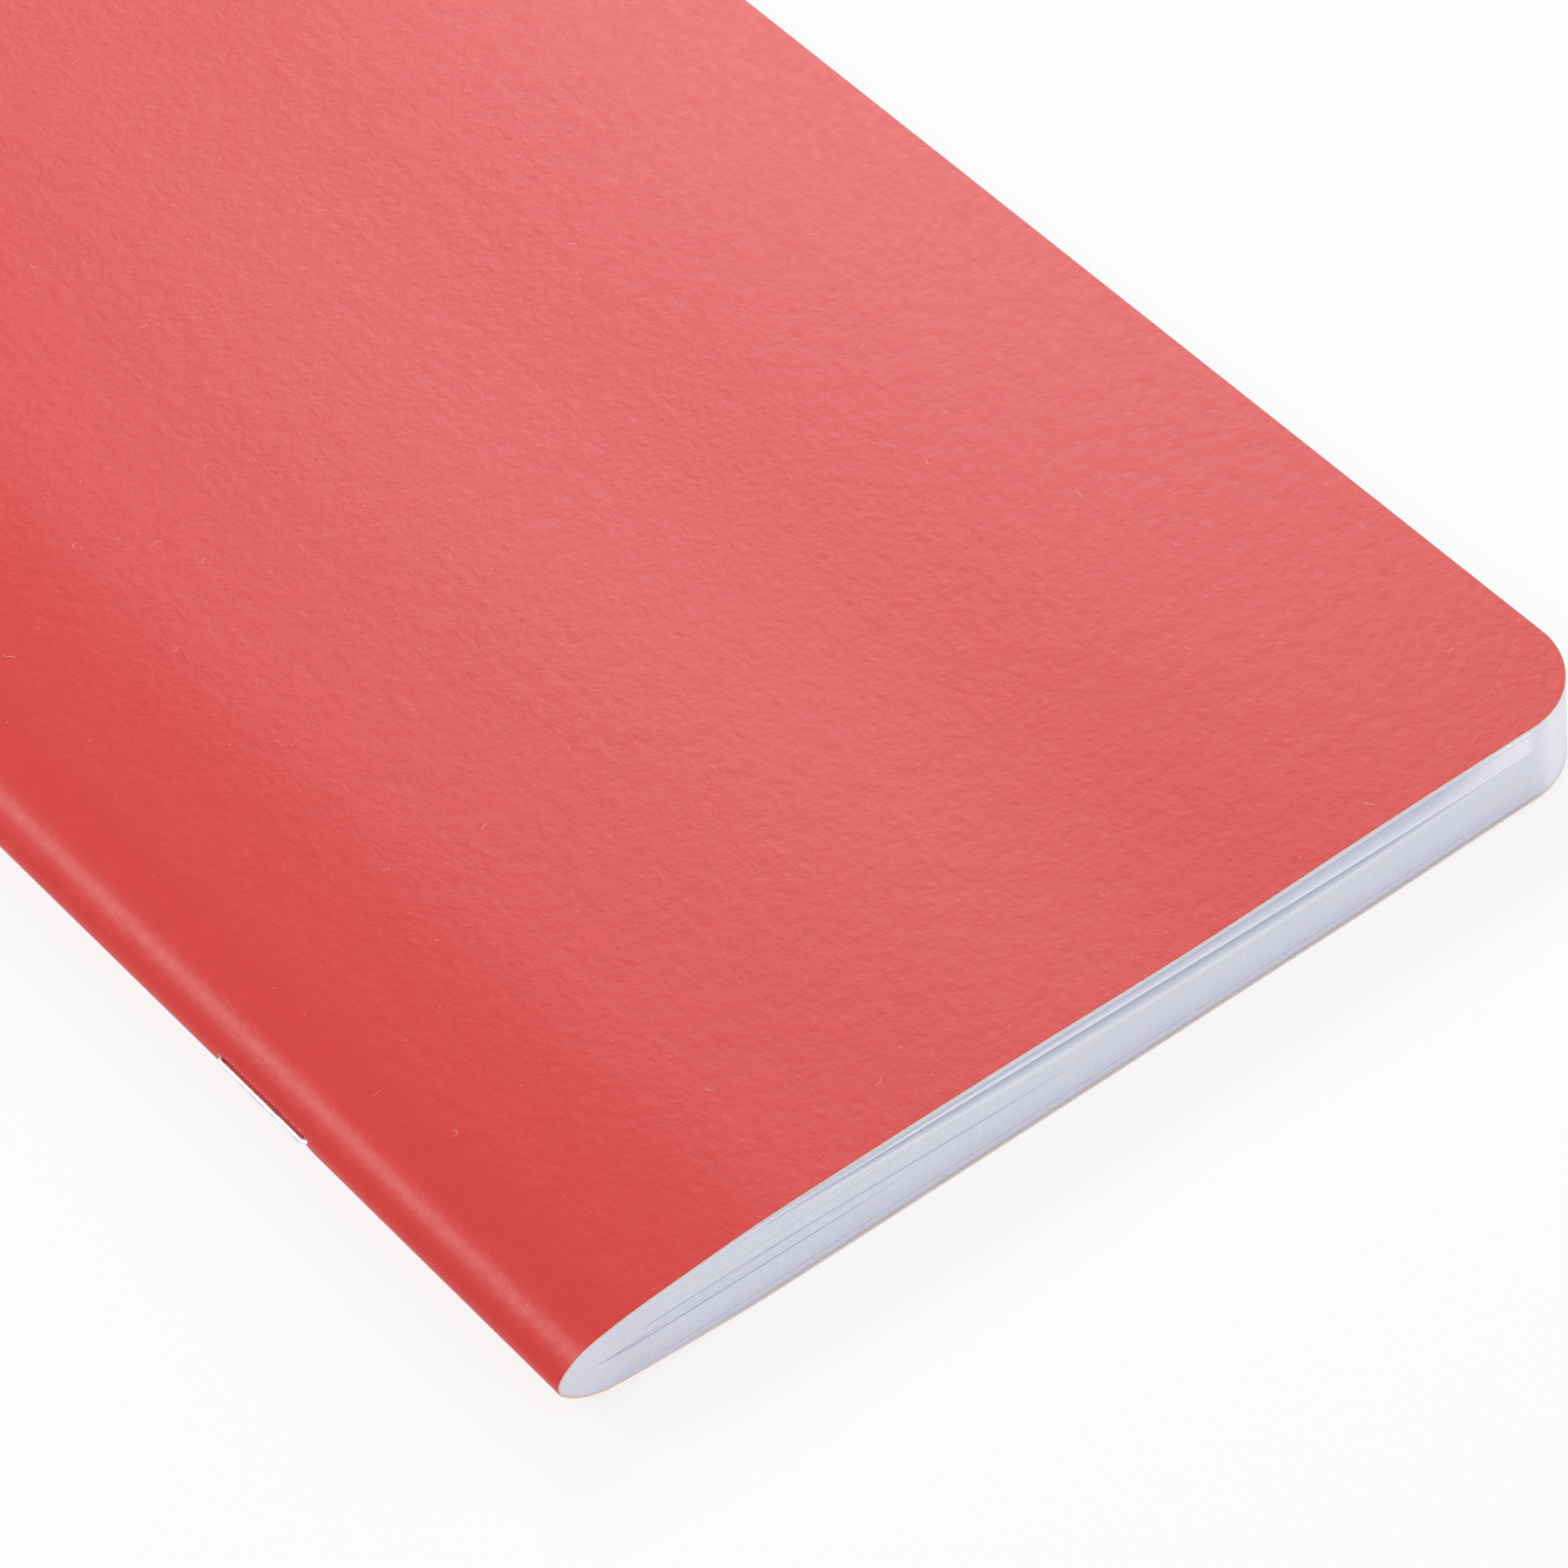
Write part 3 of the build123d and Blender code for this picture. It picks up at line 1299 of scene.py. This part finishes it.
@dataclass
class WireStitch:
    """A wire stitch: a crown outside the spine, two legs through it, two ends clinched inside."""

    section: Section
    place: StitchPlace
    clinch_length: float = 4.6 * MM
    bend_radius: float = 0.55 * MM
    pressed_in: float = 0.20 * MM
    turns: int = 7
    sides: int = 16
    sharp_angle: float = 50.0

    def tree(self) -> bpy.types.NodeTree:
        """Builds the node tree that bends and sweeps the wire.

        Returns:
            The tree.
        """
        tree = bpy.data.node_groups.new("bent_wire", "GeometryNodeTree")
        face = tree.interface
        face.new_socket("Wire", in_out="OUTPUT", socket_type="NodeSocketGeometry")
        for name in ("Crown X", "Clinch X", "Height", "Middle", "Half Crown", "Clinch", "Bend", "Diameter"):
            face.new_socket(name, in_out="INPUT", socket_type="NodeSocketFloat")
        face.new_socket("Finish", in_out="INPUT", socket_type="NodeSocketMaterial")
        g = Graph(tree)
        given = g.node("NodeGroupInput").socket.node.outputs
        value = {socket.name: Term(g, socket) for socket in given if socket.name}
        low, high = value["Middle"] - value["Half Crown"], value["Middle"] + value["Half Crown"]
        outer, inner, clinch = value["Crown X"], value["Clinch X"], value["Clinch"]
        path = [(inner, low + clinch), (inner, low), (outer, low)]
        path += [(outer, high), (inner, high), (inner, high - clinch)]
        corners = [
            g.node("ShaderNodeCombineXYZ", None, {"X": x, "Y": y, "Z": value["Height"]}) for x, y in path
        ]
        where = g.tree.nodes.new("GeometryNodeIndexSwitch")
        where.data_type = "VECTOR"
        while len(where.index_switch_items) < len(corners):
            where.index_switch_items.new()
        g.tree.links.new(g.node("GeometryNodeInputIndex").socket, where.inputs["Index"])
        for socket, corner in zip(where.inputs[1:], corners):
            g.tree.links.new(corner.socket, socket)
        line = g.node("GeometryNodeCurvePrimitiveLine")
        points = g.node("GeometryNodeResampleCurve", None, {"Curve": line, "Count": len(corners)})
        place = {"Geometry": points, "Position": Term(g, where.outputs[0])}
        bent = g.node("GeometryNodeSetPosition", None, place)
        bends = {"Curve": bent, "Radius": value["Bend"], "Count": self.turns, "Limit Radius": True}
        rounded = g.node("GeometryNodeFilletCurve", {"mode": "POLY"}, bends)
        size = {"Resolution": self.sides, "Radius": value["Diameter"] * 0.5}
        ring = g.node("GeometryNodeCurvePrimitiveCircle", None, size)
        sweep = {"Curve": rounded, "Profile Curve": ring, "Fill Caps": True}
        swept = g.node("GeometryNodeCurveToMesh", None, sweep)
        real = g.node("GeometryNodeRealizeInstances", None, {"Geometry": swept})
        dressed = g.node("GeometryNodeSetMaterial", None, {"Geometry": real, "Material": value["Finish"]})
        g.end("NodeGroupOutput", {0: dressed})
        return tree

    def make(self, finish: Material) -> list[Piece]:
        """Builds both stitches.

        Args:
            finish: The wire's material.

        Returns:
            The stitches, tail first.
        """
        tree = self.tree()
        made = []
        for end, middle in zip(("tail", "head"), self.place.middles(self.section.height)):
            node = f"staple_{end}"
            low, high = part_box(node)
            sizes = {
                "Crown X": low.x + self.place.wire / 2 + self.pressed_in,
                "Clinch X": high.x - self.place.wire / 2,
                "Height": self.section.half_thickness,
                "Middle": middle,
                "Half Crown": self.place.half_crown,
                "Clinch": self.clinch_length,
                "Bend": self.bend_radius,
                "Diameter": self.place.wire,
                "Finish": finish,
            }
            piece = grown(f"wire_stitch_{end}", tree, sizes)
            piece.data.shade_smooth()
            piece.data.set_sharp_from_angle(angle=radians(self.sharp_angle))
            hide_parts(node)
            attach(piece, "spine")
            made.append(piece)
        return made


def grown(name: str, tree: bpy.types.NodeTree, sizes: dict[str, Any]) -> Piece:
    """Runs a geometry tree once and keeps its result as a plain mesh.

    Args:
        name: The new piece's name.
        tree: The geometry tree.
        sizes: Its inputs, by name.

    Returns:
        The piece, in the scene.
    """
    piece = linked(name, bpy.data.meshes.new(name))
    modifier = piece.modifiers.new("shape", "NODES")
    modifier.node_group = tree
    for item in tree.interface.items_tree:
        if item.item_type == "SOCKET" and item.in_out == "INPUT":
            modifier[item.identifier] = sizes[item.name]
    evaluated = piece.evaluated_get(bpy.context.evaluated_depsgraph_get())
    mesh = bpy.data.meshes.new_from_object(evaluated)
    piece.modifiers.remove(modifier)
    piece.data = mesh
    mesh.name = name
    return piece


# --- Studio ---


@dataclass(frozen=True)
class SoftLamp:
    """A square soft lamp that looks at a point of the book, its target in mm.

    The heading counts from the head towards the fore edge, and the light is the same from any distance.
    """

    name: str
    target: tuple[float, float, float]
    heading: float
    elevation: float
    distance: float
    side: float
    light: float
    colour: tuple[float, float, float] = (1.0, 1.0, 1.0)

    def make(self) -> None:
        """Hangs the lamp."""
        level = cos(radians(self.elevation))
        heading = radians(self.heading)
        toward = Vector((sin(heading) * level, cos(heading) * level, sin(radians(self.elevation))))
        lamp = bpy.data.lights.new(self.name, "AREA")
        lamp.shape = "SQUARE"
        lamp.size = self.side
        lamp.energy = self.light * pi**2 * self.distance**2
        lamp.color = self.colour
        holder = linked(self.name, lamp)
        holder.location = Vector(self.target) * MM + toward * self.distance
        holder.rotation_euler = toward.to_track_quat("Z", "Y").to_euler()


@dataclass(frozen=True)
class Studio:
    """The camera, the floor, the lamps and the surroundings."""

    aim: tuple[float, float, float] = (-16.43, -68.23, 33.86)
    camera_distance: float = 642.07 * MM
    camera_elevation: float = 45.895
    camera_heading: float = 32.669
    camera_roll: float = -6.839
    lens: float = 185.92
    floor_side: float = 6.0
    floor_drop: float = 0.03 * MM
    surroundings: float = 0.36
    lamps: tuple[SoftLamp, ...] = (
        SoftLamp("spine_lamp", (-52, -40, 7), -36.0, 43.0, 1.2, 0.30, 0.35),
        SoftLamp("far_lamp", (30, 60, 9), 41.0, 38.4, 0.85, 0.32, 0.45),
        SoftLamp("right_lamp", (40, -50, 5), 103.0, 12.5, 0.5, 0.3, 0.20, (1.0, 0.995, 0.99)),
        SoftLamp("tail_lamp", (10, -85, 5), 158.0, 11.0, 0.9, 0.35, 0.18, (1.0, 0.995, 0.99)),
        SoftLamp("front_lamp", (0, 0, 5), 226.0, 26.0, 1.4, 0.8, 0.26, (0.98, 0.985, 1.0)),
    )

    def camera(self) -> None:
        """Puts the camera where the picture was taken from."""
        heading, elevation, roll = map(
            radians, (self.camera_heading, self.camera_elevation, self.camera_roll)
        )
        level_right = Vector((cos(heading), -sin(heading), 0))
        level_ahead = Vector((sin(heading), cos(heading), 0))
        ahead = cos(elevation) * level_ahead - sin(elevation) * Vector((0, 0, 1))
        up = sin(elevation) * level_ahead + cos(elevation) * Vector((0, 0, 1))
        right = cos(roll) * level_right + sin(roll) * up
        top = cos(roll) * up - sin(roll) * level_right
        turn = Matrix((right, top, -ahead)).transposed().to_4x4()
        lens = bpy.data.cameras.new("camera")
        lens.lens = self.lens
        lens.sensor_width = 36.0
        lens.clip_start, lens.clip_end = 0.01, 20.0
        camera = linked("camera", lens)
        place = Vector(self.aim) * MM - self.camera_distance * ahead
        camera.matrix_world = Matrix.Translation(place) @ turn
        bpy.context.scene.camera = camera

    def floor(self) -> None:
        """Lays the floor just under the book."""
        half = self.floor_side / 2
        corners = [(x * half, y * half, -self.floor_drop) for x, y in ((-1, -1), (1, -1), (1, 1), (-1, 1))]
        mesh = bpy.data.meshes.new("studio_floor")
        mesh.from_pydata(corners, [], [(0, 1, 2, 3)])
        mesh.materials.append(StudioWhite().material())
        floor = linked("studio_floor", mesh)

    def surround(self) -> None:
        """Gives the world a white look and a softer light."""
        world = bpy.data.worlds.new("studio")
        world.use_nodes = True
        bpy.context.scene.world = world
        g = Graph(world.node_tree)
        light = {"Color": rgb(250, 251, 255), "Strength": self.surroundings}
        soft = g.node("ShaderNodeBackground", None, light)
        white = g.node("ShaderNodeBackground", None, {"Color": rgb(255, 255, 255), "Strength": 1.0})
        shader = g.node("ShaderNodeMixShader", None, {0: g.unlit_view(), 1: soft, 2: white})
        g.end("ShaderNodeOutputWorld", {"Surface": shader})

    def make(self) -> None:
        """Sets the whole studio."""
        self.camera()
        self.floor()
        self.surround()
        for lamp in self.lamps:
            lamp.make()
        bpy.context.scene.view_settings.view_transform = "Standard"


# --- The book ---


def report(pieces: list[Piece]) -> None:
    """Logs each piece with its number of triangles.

    Args:
        pieces: The pieces that were built.
    """
    for piece in pieces:
        piece.data.calc_loop_triangles()
        LOG.info("%s: %d triangles", piece.name, len(piece.data.loop_triangles))


def main() -> None:
    """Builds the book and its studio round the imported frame."""
    logging.basicConfig(level=logging.INFO, format="%(message)s")
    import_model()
    low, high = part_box("cover_back")
    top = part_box("cover_front")[1].z
    section = Section(width=2 * high.x, height=high.y - low.y, half_thickness=top / 2)
    stitches = StitchPlace()
    Studio().make()

    inside = BareCard("bare_card_inside", rgb(222, 212, 198), rgb(208, 196, 180)).material()
    cut = BareCard("cut_card_edge", rgb(238, 218, 206), rgb(200, 174, 158), painted_low_light_share=0.75).material()
    report([Cover(section, stitches).make([CoverCard().material(), inside, cut])])
    page, edge = PagePaper().material(), CutPaper().material()
    report(PageBlock(section, stitches).make([page, page, edge]))
    report(WireStitch(section, stitches).make(StitchWire().material()))


if __name__ == "__main__":
    main()
